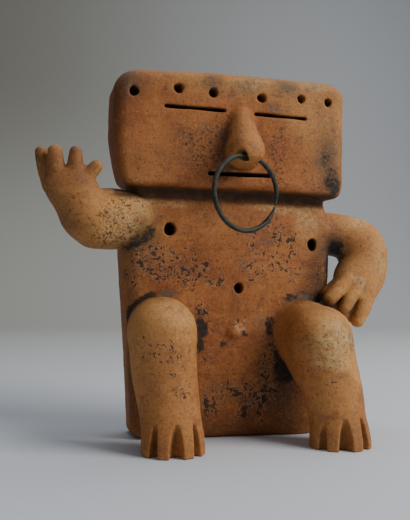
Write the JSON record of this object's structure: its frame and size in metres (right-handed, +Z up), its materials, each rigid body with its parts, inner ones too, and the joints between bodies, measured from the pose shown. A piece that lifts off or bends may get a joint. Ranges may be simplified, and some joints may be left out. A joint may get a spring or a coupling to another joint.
{
  "type": "seated statuette",
  "caption": "Seated slab figure in fired clay with a broad pierced head, slit eyes and mouth, a tall nose holding a metal ring, a raised open hand, a hand on the hip and short toed legs.",
  "frame": {"origin": "on the ground, under the middle of the box around the whole figure", "axes": "+Z up; the face looks along -Y; the raised arm is on the -X side and the hand on the hip on the +X side"},
  "size_m": [0.2406, 0.0914, 0.238],
  "materials": {
    "clay": "unglazed matte fired clay, orange brown with black mineral specks",
    "ring_metal": "copper alloy with a dark green patina"
  },
  "bodies": {
    "root": {"figure": "clay", "nose_ring": "ring_metal"}
  },
  "joints": []
}
